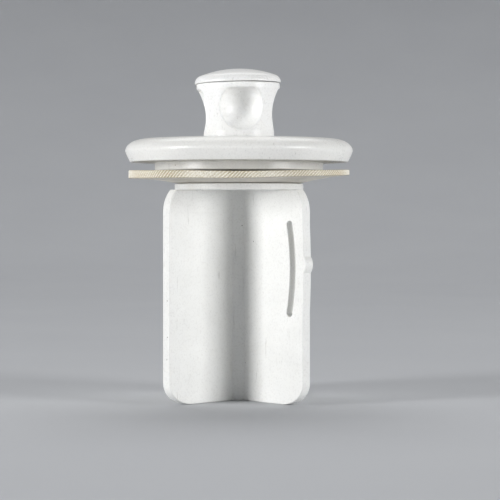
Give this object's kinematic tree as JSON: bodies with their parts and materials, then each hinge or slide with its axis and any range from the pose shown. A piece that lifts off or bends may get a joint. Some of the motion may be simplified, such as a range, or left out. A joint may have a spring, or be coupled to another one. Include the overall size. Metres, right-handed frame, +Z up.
{
  "type": "drain stopper",
  "caption": "Push-in drain stopper: domed finger-scoop knob on a round flange, a dished soft washer, and a stem of crossed guide fins with a sprung detent tongue.",
  "frame": {"origin": "on the stopper's axis, at the foot of the guide fins", "axes": "+Z up along the axis, from the fins to the knob; +X towards the fin that carries the sprung tongue"},
  "size_m": [0.042, 0.042, 0.0613],
  "materials": {
    "stem_plastic": "white moulded plastic, satin, with fine specks",
    "flange_plastic": "white moulded plastic, soft gloss",
    "knob_plastic": "white moulded plastic, soft gloss",
    "washer_sheet": "cream sheet, matt, with a ridged cut edge",
    "screw_steel": "plain stainless"
  },
  "bodies": {
    "stopper": {"guide_stem": "stem_plastic", "flange_disc": "flange_plastic", "knob": "knob_plastic", "knob_crown": "knob_plastic", "clamp_screw": "screw_steel"},
    "washer": {"gasket": "washer_sheet"},
    "detent": {"detent_tongue": "stem_plastic"}
  },
  "joints": [
    {"name": "detent_flex", "type": "slide", "parent": "stopper", "child": "detent", "axis": [-1, 0, 0], "range_m": [0, 0.0008], "stiffness_N_per_m": 30000},
    {"name": "washer_turn", "type": "hinge", "parent": "stopper", "child": "washer", "pos_m": [0, 0, 0.0401], "axis": [0, 0, 1], "continuous": true}
  ]
}
